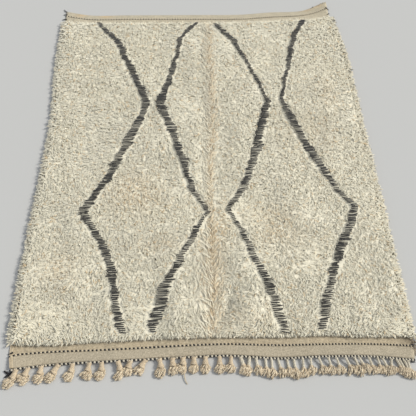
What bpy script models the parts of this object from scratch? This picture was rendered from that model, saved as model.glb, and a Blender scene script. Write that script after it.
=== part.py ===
"""Beni Ourain rug: a knotted wool pile on a woven ground, with a flat band at each end, a twined cord
across each band, and a knotted fringe that hangs from a twined cord along the near hem.

+X runs across the rug, +Y from the fringed near end to the plain far end, +Z up.  The rug lies on the
floor at z = 0 and the origin is under the middle of its box.  All lengths are in metres.
"""
from collections import namedtuple
from math import atan2, cos, pi, radians, sin
from random import Random

import bmesh
import bpy
from mathutils import Vector, noise

# ---------------------------------------------------------------- driving dimensions
GAP = 0.0003                 # left between two pieces that touch
WEAVE_THICKNESS = 0.003      # ground weave
PILE_TOP = 0.028             # mean height of the pile's tips above the floor
PILE_SKIRT = 0.012           # height of the pile slab at its walls
PILE_ROUND = 0.014           # how far inside the wall the pile reaches its height
PILE_PAST_WEAVE = 0.002      # the slab's wall past the side edge of the weave
LUMP_HEIGHT = 0.005          # up and down, of the pile's broad lumps
LUMP_SPAN = 0.17             # across one broad lump
TUFT_HEIGHT = 0.003          # of the small lumps on them
TUFT_SPAN = 0.07
CREASE_DEPTH = 0.005         # the old fold down the middle, where the pile parts
CREASE_WIDTH = 0.030
LOCK_REACH = 0.016           # of the wool locks round the pile's rim, past its wall
LOCK_TIP = 0.0065            # height of their tips above the floor
CORD_WIDTH = 0.008           # twined cords, half-round
CORD_HEIGHT = 0.004
CORD_GAP = 0.0006            # under a twined cord, to clear the bends of the band
FRINGE_CORD_WIDTH = 0.009    # the cord that carries the fringe
FRINGE_CORD_HEIGHT = 0.006
CORD_END = 0.008             # how far a cord's loose end sticks out at the sides
STRAND_WIDTH = 0.011         # a tassel's strand at its full thickness, lying flat
STRAND_HEIGHT = 0.008

# Mesh steps
COLUMNS = 36                 # across the weave and along the cords
BAND_ROWS = 3                # of the weave, between a hem and the strip under its twined cord
MIDDLE_ROWS = 8              # of the weave under the pile, where only the side edges bend
PILE_COLUMNS = 26
PILE_ROWS = 32
LOCK_CUTS = 2                # in each of the pile's border edges, so that every other point is a lock's tip

Side = namedtuple("Side", "y left right")
# The weave's side edges: full across the middle, drawn in at the corners
SIDES = (
    Side(-1.00, -0.768, 0.764),
    Side(-0.88, -0.772, 0.772),
    Side(-0.68, -0.788, 0.785),
    Side(-0.30, -0.777, 0.788),
    Side(0.15, -0.766, 0.787),
    Side(0.62, -0.790, 0.790),
    Side(0.88, -0.786, 0.766),
    Side(1.06, -0.782, 0.744),
)

End = namedtuple("End", "x near_hem near_cord near_border far_border far_cord far_hem")
# Lines across the rug: both hems dip towards its middle, and the pile keeps to the borders
ENDS = (
    End(-0.77, -0.984, -0.936, -0.897, 0.950, 1.008, 1.046),
    End(-0.42, -0.966, -0.927, -0.886, 0.936, 0.972, 1.004),
    End(0.02, -0.957, -0.919, -0.884, 0.934, 0.970, 1.003),
    End(0.42, -0.974, -0.930, -0.895, 0.934, 0.968, 1.005),
    End(0.77, -0.999, -0.948, -0.920, 0.950, 1.015, 1.061),
)

Lift = namedtuple("Lift", "x y reach_x reach_y rise")
# Where the flat bands stand off the floor: the near hem in soft waves, the far right corner curled up
LIFTS = (
    Lift(-0.80, -0.990, 0.17, 0.072, 0.013),
    Lift(-0.40, -0.980, 0.22, 0.066, 0.005),
    Lift(0.10, -0.970, 0.22, 0.058, 0.006),
    Lift(0.50, -0.985, 0.26, 0.066, 0.008),
    Lift(0.80, -1.005, 0.15, 0.066, 0.006),
    Lift(0.78, 1.072, 0.26, 0.102, 0.024),
)

Stretch = namedtuple("Stretch", "first last count lean_first lean_last length spread")
# The fringe from left to right: wide knotted tassels leaning left, then a dense row leaning right
FRINGE = (
    Stretch(-0.748, -0.030, 15, -0.034, -0.002, 0.070, 0.0145),
    Stretch(0.020, 0.140, 4, 0.002, 0.002, 0.066, 0.0115),
    Stretch(0.167, 0.372, 8, 0.002, 0.003, 0.066, 0.0075),
    Stretch(0.404, 0.628, 8, 0.008, 0.012, 0.062, 0.0080),
    Stretch(0.650, 0.748, 6, 0.012, 0.016, 0.062, 0.0030),
)

Knot = namedtuple("Knot", "along width side")
# A tassel's main strand, root to tip: neck, knot, then the loose end.  side is in spreads
MAIN_STRAND = (
    Knot(0.00, 0.80, 0.0),
    Knot(0.34, 0.66, 0.0),
    Knot(0.46, 1.35, 0.0),
    Knot(0.58, 1.00, 0.0),
    Knot(0.82, 1.35, 0.0),
    Knot(1.00, 0.60, 0.1),
)
# The loose locks on either side of it
SIDE_STRAND = (
    Knot(0.48, 0.70, 0.1),
    Knot(0.70, 1.30, 0.9),
    Knot(0.94, 0.70, 1.1),
)

ECRU = (0.46, 0.37, 0.25, 1.0)
IVORY = (0.70, 0.65, 0.53, 1.0)
BLACK_WOOL = (0.05, 0.045, 0.04, 1.0)
FRINGE_WOOL = (0.55, 0.45, 0.31, 1.0)


# ---------------------------------------------------------------- the rug's plan
def read(table, column, at):
    """A column's value at a place along the table's first column, on a smooth curve through its rows."""
    spots = [row[0] for row in table]
    values = [getattr(row, column) for row in table]
    at = min(max(at, spots[0]), spots[-1])
    k = max(i for i in range(len(spots) - 1) if spots[i] <= at)

    def slope(i):
        low, high = max(i - 1, 0), min(i + 1, len(spots) - 1)
        return (values[high] - values[low]) / (spots[high] - spots[low])

    step = spots[k + 1] - spots[k]
    t = (at - spots[k]) / step
    start = (1 + 2 * t) * (1 - t) ** 2 * values[k] + t * (1 - t) ** 2 * step * slope(k)
    end = t * t * (3 - 2 * t) * values[k + 1] + t * t * (t - 1) * step * slope(k + 1)
    return start + end


def line(name, offset=0.0):
    """A line across the rug, as y at each x: a column of ENDS moved along the rug by an offset."""
    return lambda x: read(ENDS, name, x) + offset


def between(low, high, share):
    """The line at a share of the way from one line to another."""
    return lambda x: (1 - share) * low(x) + share * high(x)


def plan_point(across, row, out=0.0):
    """A point of the rug seen from above: across runs 0 to 1 from the left edge to the right one along
    the row's line, and out moves the side edges outwards."""
    y = row(ENDS[0].x + across * (ENDS[-1].x - ENDS[0].x))
    left = read(SIDES, "left", y) - out
    right = read(SIDES, "right", y) + out
    return left + across * (right - left), y


def lift(x, y):
    """How far the underside of the weave stands above the floor."""
    height = 0.0
    for bump in LIFTS:
        away = ((x - bump.x) / bump.reach_x) ** 2 + ((y - bump.y) / bump.reach_y) ** 2
        height += bump.rise * max(0.0, 1 - away) ** 2
    return height


def crease_x(y):
    """The old fold's line, a little to the right at the far end."""
    return 0.020 + 0.028 * y + 0.006 * sin(7 * y)


def pile_height(x, y):
    """The pile's top, before it falls away at the walls."""
    broad = noise.noise(Vector((x, y, 0.3)) / LUMP_SPAN)
    small = noise.noise(Vector((x, y, 1.7)) / TUFT_SPAN)
    parting = CREASE_DEPTH / (1 + ((x - crease_x(y)) / (CREASE_WIDTH / 2)) ** 2)
    return PILE_TOP + LUMP_HEIGHT * broad + TUFT_HEIGHT * small - parting


# ---------------------------------------------------------------- helpers
def clear_scene():
    for old in list(bpy.data.objects):
        bpy.data.objects.remove(old, do_unlink=True)


def new_collection(name):
    collection = bpy.data.collections.new(name)
    bpy.context.scene.collection.children.link(collection)
    return collection


def wool(name, colour, roughness):
    material = bpy.data.materials.new(name)
    material.use_nodes = True
    shader = material.node_tree.nodes["Principled BSDF"]
    shader.inputs["Base Color"].default_value = colour
    shader.inputs["Roughness"].default_value = roughness
    shader.inputs["Metallic"].default_value = 0.0
    return material


def as_object(name, data, collection, material=None):
    piece = bpy.data.objects.new(name, data)
    collection.objects.link(piece)
    if material is not None:
        data.materials.append(material)
    return piece


def from_bmesh(name, shape, collection, material=None):
    bmesh.ops.recalc_face_normals(shape, faces=shape.faces[:])
    mesh = bpy.data.meshes.new(name)
    shape.to_mesh(mesh)
    shape.free()
    return as_object(name, mesh, collection, material)


def profile(name, corners, cutters):
    """A closed flat outline that a strand carries along its path, its base on the path."""
    curve = bpy.data.curves.new(name, "CURVE")
    curve.dimensions = "2D"
    spline = curve.splines.new("POLY")
    spline.points.add(len(corners) - 1)
    for point, (x, y) in zip(spline.points, corners):
        point.co = (x, y, 0.0, 1.0)
    spline.use_cyclic_u = True
    return helper(as_object(name, curve, cutters))


def helper(piece):
    piece.hide_render = True
    piece.display_type = "WIRE"
    return piece


Spot = namedtuple("Spot", "place size tilt", defaults=(0.0,))


def swept(name, strands, collection, material=None, outline=None, depth=0.0):
    """One mesh of all the strands, each a list of spots, with its ends capped and welded."""
    curve = bpy.data.curves.new(name + "_path", "CURVE")
    curve.dimensions = "3D"
    curve.twist_mode = "Z_UP"
    curve.use_fill_caps = True
    if outline is None:
        curve.bevel_depth = depth
        curve.bevel_resolution = 0
    else:
        curve.bevel_mode = "OBJECT"
        curve.bevel_object = outline
    for strand in strands:
        spline = curve.splines.new("POLY")
        spline.points.add(len(strand) - 1)
        for point, spot in zip(spline.points, strand):
            point.co = (*spot.place, 1.0)
            point.radius = spot.size
            point.tilt = spot.tilt
    path = as_object(name + "_path", curve, collection)
    bpy.context.view_layer.update()
    evaluated = path.evaluated_get(bpy.context.evaluated_depsgraph_get())
    shape = bmesh.new()
    shape.from_mesh(bpy.data.meshes.new_from_object(evaluated))
    bmesh.ops.remove_doubles(shape, verts=shape.verts[:], dist=0.00002)
    bpy.data.objects.remove(path, do_unlink=True)
    return from_bmesh(name, shape, collection, material)


def union(piece, other):
    join = piece.modifiers.new("join_" + other.name, "BOOLEAN")
    join.operation = "UNION"
    join.solver = "EXACT"
    join.use_self = True
    join.object = helper(other)


# ---------------------------------------------------------------- pieces
def weave_rows():
    """The weave's lines across the rug from hem to hem, with a flat strip under each twined cord."""
    strip = CORD_WIDTH / 2 + 0.001
    stops = (
        line("near_hem"),
        line("near_cord", -strip),
        line("near_cord", strip),
        line("near_border", -LOCK_REACH),
        line("far_border", LOCK_REACH),
        line("far_cord", -strip),
        line("far_cord", strip),
        line("far_hem"),
    )
    steps = (BAND_ROWS, 1, 1, MIDDLE_ROWS, 1, 1, BAND_ROWS)
    rows = [stops[0]]
    for low, high, count in zip(stops, stops[1:], steps):
        rows += [between(low, high, (k + 1) / count) for k in range(count)]
    return rows


def ground_weave(parts):
    """The flat woven cloth under the pile, which shows as a band at each end."""
    rows = weave_rows()
    shape = bmesh.new()
    bmesh.ops.create_grid(shape, x_segments=COLUMNS, y_segments=len(rows) - 1, size=0.5)
    under_pile = []
    for face in shape.faces:
        row = int((face.calc_center_median().y + 0.5) * (len(rows) - 1))
        if BAND_ROWS + 2 <= row < len(rows) - BAND_ROWS - 3:
            under_pile.append(face)
    for vert in shape.verts:
        row = rows[round((vert.co.y + 0.5) * (len(rows) - 1))]
        x, y = plan_point(vert.co.x + 0.5, row)
        vert.co = (x, y, lift(x, y))
    bmesh.ops.dissolve_faces(shape, faces=under_pile)
    piece = from_bmesh("ground_weave", shape, parts, wool("ecru_weave", ECRU, 0.9))
    if piece.data.polygons[0].normal.z < 0:
        piece.data.flip_normals()
    thicken = piece.modifiers.new("thickness", "SOLIDIFY")
    thicken.thickness = WEAVE_THICKNESS
    thicken.offset = 1.0
    return piece


def pile_plan(across, along, out=0.0):
    """A point of the pile seen from above, as shares of its width and of its length between its borders."""
    return plan_point(across, between(line("near_border"), line("far_border"), along), PILE_PAST_WEAVE + out)


def pile_top(shape):
    """The lumpy top, a grid that stops short of the walls by PILE_ROUND."""
    inset_across = PILE_ROUND / (SIDES[3].right - SIDES[3].left)
    inset_along = PILE_ROUND / (ENDS[2].far_border - ENDS[2].near_border)
    bmesh.ops.create_grid(shape, x_segments=PILE_COLUMNS, y_segments=PILE_ROWS, size=0.5)
    rim = [edge for edge in shape.edges if edge.is_boundary]
    bmesh.ops.subdivide_edges(shape, edges=rim, cuts=LOCK_CUTS)
    for vert in shape.verts:
        across = 0.5 + vert.co.x * (1 - 2 * inset_across)
        along = 0.5 + vert.co.y * (1 - 2 * inset_along)
        x, y = pile_plan(across, along)
        vert.co = (x, y, pile_height(x, y))


def rim_loop(shape):
    """The points of the open rim, in order, each with the way outwards."""
    edges = [edge for edge in shape.edges if edge.is_boundary]
    vert = edges[0].verts[0]
    edge = edges[0]
    loop = []
    while not loop or vert is not loop[0]:
        loop.append(vert)
        vert = edge.other_vert(vert)
        edge = next(other for other in vert.link_edges if other.is_boundary and other is not edge)
    ways = []
    for k, vert in enumerate(loop):
        run = loop[(k + 1) % len(loop)].co - loop[k - 1].co
        ways.append(Vector((run.y, -run.x, 0.0)).normalized())
    if ways[0].dot(loop[0].co) < 0:
        ways = [-way for way in ways]
    return loop, ways


def pull_locks(shape):
    """Draws the rim out and down to the walls, with every other point pulled on into a lock's tip."""
    draw = Random(11)
    rim = [edge for edge in shape.edges if edge.is_boundary]
    bmesh.ops.extrude_edge_only(shape, edges=rim)
    loop, ways = rim_loop(shape)
    for k, (vert, way) in enumerate(zip(loop, ways)):
        is_tip = k % 2 == 0
        reach = PILE_ROUND + (LOCK_REACH * draw.uniform(0.65, 1.0) if is_tip else draw.uniform(-0.004, 0.002))
        sideways = Vector((-way.y, way.x, 0.0)) * draw.uniform(-0.006, 0.006)
        vert.co += reach * way + sideways
        vert.co.z = LOCK_TIP if is_tip else PILE_SKIRT


def pile(parts):
    """The shaggy pile as a lumpy slab on the weave, with locks all round its rim."""
    shape = bmesh.new()
    pile_top(shape)
    pull_locks(shape)
    rim = [edge for edge in shape.edges if edge.is_boundary]
    walls = bmesh.ops.extrude_edge_only(shape, edges=rim)["geom"]
    for item in walls:
        if isinstance(item, bmesh.types.BMVert):
            item.co.z = WEAVE_THICKNESS + GAP
    base = [item for item in walls if isinstance(item, bmesh.types.BMEdge) and item.is_boundary]
    bmesh.ops.contextual_create(shape, geom=base)
    return from_bmesh("pile", shape, parts, wool("ivory_pile", IVORY, 0.95))


def half_round(width, height):
    """Corners of a half-round outline that stands on its flat base."""
    steps = 4
    return [(width / 2 * cos(pi * k / steps), height * sin(pi * k / steps)) for k in range(steps + 1)]


def with_ends(path, first_sizes, last_sizes):
    """A cord's path with its loose ends past the side edges, each a few spots of the given sizes."""
    first, last = path[0], path[-1]
    start = []
    end = []
    for k, size in enumerate(first_sizes):
        away = CORD_END * (len(first_sizes) - k) / len(first_sizes)
        start.append(Spot(first.place - Vector((away, 0, 0)), size, first.tilt))
    for k, size in enumerate(last_sizes):
        away = CORD_END * (k + 1) / len(last_sizes)
        end.append(Spot(last.place + Vector((away, 0, 0)), size, last.tilt))
    return start + path + end


def twined_cord(name, column, parts, cutters):
    """A black and white cord twined across a band, standing on the weave."""
    half = CORD_WIDTH / 2 + 0.001
    path = []
    for step in range(COLUMNS + 1):
        x, y = plan_point(step / COLUMNS, line(column))
        low, high = lift(x, y - half), lift(x, y + half)
        place = Vector((x, y, (low + high) / 2 + WEAVE_THICKNESS + CORD_GAP))
        path.append(Spot(place, 1.0, atan2(high - low, 2 * half)))
    outline = profile(name + "_outline", half_round(CORD_WIDTH, CORD_HEIGHT), cutters)
    path = with_ends(path, (0.8,), (0.8,))
    return swept(name, [path], parts, wool(name + "_wool", BLACK_WOOL, 0.85), outline)


def hem_cord_place(across):
    """Middle of the cord that carries the fringe, parted from the near hem."""
    x, hem = plan_point(across, line("near_hem"))
    return Vector((x, hem - GAP - FRINGE_CORD_WIDTH / 2, lift(x, hem)))


def strand_of(knots, root, tip, spread, size):
    """Points and radii of one strand between a tassel's root and tip, down on the floor past the neck."""
    along = tip - root
    along.z = 0.0
    sideways = Vector((-along.y, along.x, 0.0)).normalized() * spread
    neck = 0.42
    strand = []
    for knot in knots:
        place = root + along * knot.along + sideways * knot.side
        place.z = root.z * max(0.0, 1 - knot.along / neck)
        strand.append(Spot(place, knot.width * size))
    return strand


def tassel_places():
    """Root, tip, spread and size of each tassel."""
    draw = Random(5)
    left = hem_cord_place(0.0).x
    right = hem_cord_place(1.0).x
    for stretch in FRINGE:
        pitch = (stretch.last - stretch.first) / (stretch.count - 1)
        size = min(1.0, 0.62 + 9 * (pitch - 0.018))
        for k in range(stretch.count):
            share = k / (stretch.count - 1)
            x = stretch.first + share * (stretch.last - stretch.first) + draw.uniform(-0.05, 0.05) * pitch
            lean = stretch.lean_first + share * (stretch.lean_last - stretch.lean_first)
            lean += draw.uniform(-0.10, 0.10) * pitch
            root = hem_cord_place((x - left) / (right - left))
            tip = Vector((x + lean, root.y - stretch.length * draw.uniform(0.90, 1.0), 0.0))
            yield root, tip, stretch.spread, size


def near_fringe(parts, cutters):
    """The fringe cord along the near hem, with the knotted tassels fused to it at their roots."""
    cord_outline = profile("fringe_cord_outline", half_round(FRINGE_CORD_WIDTH, FRINGE_CORD_HEIGHT), cutters)
    hem = [Spot(hem_cord_place(step / COLUMNS), 1.0) for step in range(COLUMNS + 1)]
    hem = with_ends(hem, (0.9, 1.6), (0.7,))
    piece = swept("near_fringe", [hem], parts, wool("fringe_wool", FRINGE_WOOL, 0.9), cord_outline)

    wide, narrow = STRAND_WIDTH / 2, STRAND_WIDTH * 0.3
    flat_strand = ((wide, 0.0), (narrow, STRAND_HEIGHT), (-narrow, STRAND_HEIGHT), (-wide, 0.0))
    strand_outline = profile("strand_outline", flat_strand, cutters)
    strands = []
    for root, tip, spread, size in tassel_places():
        strands.append(strand_of(MAIN_STRAND, root, tip, spread, size))
        strands.append(strand_of(SIDE_STRAND, root, tip, spread, size))
        strands.append(strand_of(SIDE_STRAND, root, tip, -spread, size))
    union(piece, swept("tassels", strands, cutters, outline=strand_outline))
    return piece


def main():
    clear_scene()
    parts = new_collection("beni_ourain_rug")
    cutters = new_collection("cutters")
    ground_weave(parts)
    pile(parts)
    twined_cord("near_twined_cord", "near_cord", parts, cutters)
    twined_cord("far_twined_cord", "far_cord", parts, cutters)
    near_fringe(parts, cutters)


main()
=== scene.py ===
"""The looks of the Beni Ourain rug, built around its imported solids.

The rug lies on the floor: +X across it, +Y from the fringed near end to the plain far end, metres.
Every lock of the pile is a modelled spindle of wool, placed knot by knot in rows and bent over.
"""
from collections import namedtuple
from contextlib import contextmanager
from math import cos, pi, radians, sin, tau
from random import Random

import bpy
import numpy as np
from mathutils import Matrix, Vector, noise
from mathutils.bvhtree import BVHTree


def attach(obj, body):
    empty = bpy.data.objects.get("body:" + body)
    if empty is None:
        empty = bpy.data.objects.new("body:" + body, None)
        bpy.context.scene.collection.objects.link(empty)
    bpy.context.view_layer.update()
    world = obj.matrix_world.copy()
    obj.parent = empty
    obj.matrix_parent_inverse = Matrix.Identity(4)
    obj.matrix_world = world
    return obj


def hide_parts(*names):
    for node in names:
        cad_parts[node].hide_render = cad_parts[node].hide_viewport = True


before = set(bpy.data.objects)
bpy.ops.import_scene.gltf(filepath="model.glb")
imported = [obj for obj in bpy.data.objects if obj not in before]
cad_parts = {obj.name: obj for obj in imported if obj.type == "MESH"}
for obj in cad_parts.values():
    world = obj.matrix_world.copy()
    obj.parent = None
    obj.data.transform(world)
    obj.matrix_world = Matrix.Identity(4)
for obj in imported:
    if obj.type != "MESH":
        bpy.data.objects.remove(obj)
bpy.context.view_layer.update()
solid_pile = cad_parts["pile"].data
pile_tree = BVHTree.FromPolygons(
    [point.co for point in solid_pile.vertices], [face.vertices for face in solid_pile.polygons])

# ---------------------------------------------------------------- the rug's plan
# It is the solids' own plan, moved by up to 20 mm where the real edges bend more than theirs
WEAVE_THICKNESS = 0.003
CLOTH_WIDTH = 1.56           # the flat width that the cords are twined across
CLOTH_COLUMNS = 110          # of its mesh
BAND_ROWS = 12               # of its mesh in each flat band, and again under the pile
RIPPLE_HEIGHT = 0.0006       # of the cloth's fine ripples where it stands off the floor
RIPPLE_SPAN = 0.035
PILE_PAST_WEAVE = 0.002      # the pile's wall past the side edge of the weave

Side = namedtuple("Side", "y left right")
# The two side edges, from the near end to the far one
SIDES = (
    Side(-1.00, -0.767, 0.774),
    Side(-0.93, -0.786, 0.788),
    Side(-0.88, -0.787, 0.787),
    Side(-0.68, -0.788, 0.786),
    Side(-0.30, -0.777, 0.788),
    Side(0.15, -0.766, 0.787),
    Side(0.62, -0.790, 0.790),
    Side(0.88, -0.794, 0.768),
    Side(1.06, -0.797, 0.748),
)

End = namedtuple("End", "x near_hem near_cord near_border far_border far_cord far_hem")
# The lines across the rug, from its left side to its right one
ENDS = (
    End(-0.77, -0.986, -0.934, -0.893, 0.948, 1.013, 1.052),
    End(-0.62, -0.971, -0.926, -0.897, 0.940, 0.978, 1.014),
    End(-0.42, -0.967, -0.925, -0.890, 0.934, 0.974, 1.009),
    End(0.02, -0.958, -0.917, -0.887, 0.921, 0.960, 0.998),
    End(0.25, -0.974, -0.928, -0.894, 0.919, 0.954, 0.993),
    End(0.42, -0.974, -0.930, -0.894, 0.925, 0.966, 1.007),
    End(0.62, -0.981, -0.936, -0.905, 0.932, 0.976, 1.014),
    End(0.77, -0.998, -0.947, -0.911, 0.945, 1.018, 1.062),
)

MIDDLE = ENDS[3]
MIDDLE_WIDTH = 1.565         # of the pile, halfway along the rug

Lift = namedtuple("Lift", "x y reach_x reach_y rise")
# Where the flat bands stand off the floor: the near hem in soft waves, the far right corner curled up
LIFTS = (
    Lift(-0.80, -0.990, 0.17, 0.072, 0.013),
    Lift(-0.40, -0.980, 0.27, 0.066, 0.011),
    Lift(0.10, -0.970, 0.22, 0.058, 0.008),
    Lift(0.50, -0.985, 0.28, 0.066, 0.015),
    Lift(0.80, -1.005, 0.15, 0.066, 0.010),
    Lift(0.78, 1.072, 0.26, 0.102, 0.024),
)

# ---------------------------------------------------------------- the pile
KNOT_PITCH = 0.0062          # from one cream lock to the next, both ways
ROW_CROWDING = 1.16          # above 1, the rows of locks lie closer together towards the fringe
BAR_PITCH = 0.0084           # from one charcoal bar of a zigzag line to the next
BAR_WIDTH = 0.0047           # of each charcoal lock in a bar
BAR_RISE = 0.0024            # of a bar's root above the pile's surface
SLIT_WIDTH = 0.0043          # of the grey lock between two bars
SLIT_RISE = 0.0010           # of its root above the pile's surface
PILE_SEED = 21               # of the random draws for the locks
LOCK_LENGTH = 0.027          # of a cream lock, on average
LOCK_WIDTH = 0.0050          # across its thickest place, on average
SWAY_SPAN = 0.22             # across a patch of locks that lean the same way
TONE_SPAN = 0.16             # across a paler or darker patch
TAN_CHANCE = 0.09            # that a lock is tan by itself
LINE_MARGIN = 0.0045         # left free of cream locks beside a zigzag line
LINE_REACH = 0.010           # beside a line, where the cream locks turn away from it
EDGE_REACH = 0.035           # beside the pile's edges, where its locks and their shade change
BEYOND_LINES = 0.2           # distance given to a place that no line comes near
PILE_CEILING = 0.0400        # above which the highest locks are pressed down
CEILING_EASE = 0.0025        # the most that a pressed lock stands past it
FLOOR_REACH = 0.0040         # below which the locks' tips are held up from the floor
FLOOR_GAP = 0.0006           # the least that they keep from it
FLOOR_EASE = 0.0034          # between those two heights
PILE_DEPTH = 0.0085          # from the locks' roots up to the pile's surface
BED_DEPTH = 0.0046           # of the matted wool between the locks, under the surface
BED_INSET = 0.016            # of its walls, inside the pile's own
BED_COLUMNS, BED_ROWS = 50, 60
DENT_DEPTH = 0.0020          # of the soft dents in the pile
DENT_SPAN = 0.12             # across one of them
NEAR_RIM_TOP = 0.0155        # height of the pile at its near border
FAR_RIM_TOP = 0.0125         # and at its far one
RIM_SLOPE = 0.85             # how steeply it rises from there
SLOPE_REACH = 0.010          # over which the pile's slope is read
STEEPEST = 0.5               # slope of the pile that the wool's shading still follows
SOFTNESS = 0.76              # how far the wool's shading follows the pile instead of the single lock
CLUMP_SPAN = 0.032           # across a clump of locks
CLUMP_STEP = 0.004           # over which the pull into a clump is read
CLUMP_PULL = 0.02            # how strongly the noise's slope pulls
BEND_STEPS = 6               # in which a lock's bend is followed from its root
PANELS = 5                   # pieces that the pile is split into across the rug
CREASE_REACH = 0.034         # how far from the old fold the locks are combed
PARTING = 0.012              # half the width of the fold's thin middle
FOLD_FADE = (-0.3, 0.2)      # y from where the fold is strong to where it is weak
STRAND_PITCH = 0.0085        # from one long strand of the fold to the next

Bend = namedtuple("Bend", "y x width")
# The four charcoal zigzag lines, left to right: each from the far end to the near one, as the places where
# it turns or bows
ZIGZAGS = tuple(tuple(Bend(*row) for row in rows) for rows in (
    ((0.923, -0.591, 0.018), (0.837, -0.533, 0.028), (0.770, -0.474, 0.032), (0.643, -0.422, 0.036),
     (0.464, -0.349, 0.036), (0.316, -0.292, 0.042), (0.243, -0.306, 0.036), (0.093, -0.363, 0.046),
     (-0.137, -0.456, 0.036), (-0.330, -0.558, 0.034), (-0.465, -0.468, 0.030), (-0.596, -0.413, 0.034),
     (-0.784, -0.376, 0.030), (-0.868, -0.355, 0.026)),
    ((0.908, -0.026, 0.024), (0.823, -0.088, 0.026), (0.759, -0.119, 0.024), (0.634, -0.141, 0.023),
     (0.458, -0.183, 0.032), (0.300, -0.224, 0.044), (0.136, -0.165, 0.038), (-0.058, -0.103, 0.034),
     (-0.149, -0.088, 0.025), (-0.237, -0.055, 0.026), (-0.340, 0.008, 0.016), (-0.352, -0.012, 0.018),
     (-0.477, -0.078, 0.026), (-0.622, -0.153, 0.030), (-0.690, -0.185, 0.040), (-0.821, -0.227, 0.038),
     (-0.872, -0.234, 0.028)),
    ((0.896, 0.074, 0.018), (0.816, 0.133, 0.030), (0.750, 0.177, 0.032), (0.623, 0.227, 0.018),
     (0.443, 0.289, 0.015), (0.335, 0.320, 0.016), (0.296, 0.332, 0.030), (0.224, 0.306, 0.036),
     (0.025, 0.256, 0.040), (-0.068, 0.225, 0.042), (-0.201, 0.176, 0.034), (-0.330, 0.093, 0.026),
     (-0.366, 0.116, 0.018), (-0.446, 0.153, 0.020), (-0.597, 0.204, 0.026), (-0.669, 0.238, 0.034),
     (-0.805, 0.274, 0.040), (-0.888, 0.289, 0.032)),
    ((0.908, 0.594, 0.026), (0.803, 0.535, 0.028), (0.676, 0.497, 0.030), (0.555, 0.466, 0.028),
     (0.410, 0.429, 0.014), (0.314, 0.403, 0.020), (0.220, 0.425, 0.034), (0.117, 0.459, 0.040),
     (-0.078, 0.526, 0.034), (-0.258, 0.607, 0.026), (-0.335, 0.662, 0.028), (-0.461, 0.606, 0.038),
     (-0.535, 0.564, 0.044), (-0.608, 0.530, 0.034), (-0.745, 0.471, 0.032), (-0.881, 0.435, 0.032)),
))

Swell = namedtuple("Swell", "x y reach_along reach_across heading rise")
# Where the pile stands higher or lower: a bump and a hollow by the fold near the front, and long soft folds
SWELLS = (
    Swell(0.165, -0.800, 0.070, 0.050, 60, 0.010),
    Swell(0.075, -0.765, 0.080, 0.020, 68, -0.008),
    Swell(0.010, -0.770, 0.090, 0.045, 68, -0.004),
    Swell(0.124, -0.690, 0.045, 0.022, 36, -0.007),
    Swell(0.290, -0.840, 0.050, 0.040, 60, -0.005),
    Swell(-0.140, -0.785, 0.070, 0.040, 70, 0.009),
    Swell(-0.080, -0.710, 0.060, 0.030, 50, -0.005),
    Swell(-0.250, -0.555, 0.150, 0.022, 22, 0.003),
    Swell(-0.225, -0.512, 0.110, 0.020, 32, -0.007),
    Swell(-0.500, -0.710, 0.140, 0.032, 35, -0.007),
    Swell(-0.560, -0.640, 0.150, 0.030, 30, 0.004),
    Swell(-0.520, 0.100, 0.120, 0.050, 60, -0.005),
    Swell(0.600, 0.230, 0.060, 0.050, 80, 0.008),
    Swell(0.520, 0.020, 0.140, 0.030, 60, -0.005),
    Swell(-0.480, 0.420, 0.140, 0.034, 45, -0.005),
    Swell(0.120, 0.460, 0.120, 0.034, 60, -0.004),
    Swell(-0.130, 0.640, 0.120, 0.040, 70, -0.004),
)

Patch = namedtuple("Patch", "x y reach_x reach_y strength", defaults=(1.0,))
# Where the far band has gone orange
CLOTH_STAINS = (
    Patch(-0.559, 1.000, 0.035, 0.012),
    Patch(-0.704, 1.015, 0.035, 0.012),
    Patch(0.620, 1.020, 0.035, 0.012),
    Patch(0.690, 1.040, 0.035, 0.012),
)
DARK_CORNER_PATCH = Patch(0.775, -0.922, 0.034, 0.030)          # the darker right corner of the near band
# Where the wool has gone tan
TAN_PATCHES = (
    Patch(-0.33, -0.22, 0.14, 0.12, 0.85),
    Patch(-0.20, -0.48, 0.12, 0.06, 0.45),
    Patch(-0.62, -0.58, 0.10, 0.10, 0.60),
    Patch(0.03, -0.42, 0.06, 0.14, 1.2),
    Patch(0.01, -0.66, 0.05, 0.20, 1.2),
    Patch(0.30, -0.42, 0.13, 0.12, 0.65),
    Patch(0.16, -0.82, 0.20, 0.08, 0.3),
    Patch(0.52, 0.10, 0.20, 0.20, 0.30),
    Patch(0.66, 0.35, 0.06, 0.14, 0.55),
)

# ---------------------------------------------------------------- cords and fringe
CORD_PITCHES = (0.0158, 0.0125)   # from one black stitch of a twined cord to the next, left and right
BLACK_YARN = 0.0031          # radius of the black yarn
PALE_YARN = 0.0030           # radius of the pale one
HEM_CORD_DROP = 0.0045       # middle of the hem's cord, out from the hem
NECK_YARN = 0.0026           # radius of each yarn in a tassel's neck
CURL_YARN = 0.0019           # radius of the loose yarns
CURL_TURNS = 2.8             # of the coil that each loose yarn curls into
KNOT_TURNS = 2.3             # of the yarn that ties a tassel
FRINGE_SEED = 17             # of the random draws for the tassels
STOUT_FADE = (-0.05, 0.22)   # x from where the tassels are stout to where they are slim
SLIM_NECK = 0.0050           # radius of a slim tassel's neck
STOUT_GAIN = 0.0054          # more for a stout one
SLIM_PLIES, STOUT_PLIES = 3, 7                # yarns in a neck
SLIM_CURLS, MORE_CURLS = 32, 10               # loose yarns of a slim tassel, and more for a stout one
NECK_STEPS, KNOT_STEPS, CURL_STEPS, STRAY_STEPS = 14, 20, 13, 7      # along each kind of yarn
YARN_SIDES, CURL_SIDES, CORD_SIDES = 4, 3, 5                         # round each
YARN_GAP = 0.0003            # between the lowest yarn and the floor
CORD_STEPS = 700             # along a twined cord
PALE_BIAS = 0.42             # above 0, a cord's pale yarn is on the face for longer than out of sight

Cord = namedtuple("Cord", "name line out lies_at hooked fat black_bias most pale slot solid")
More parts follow.
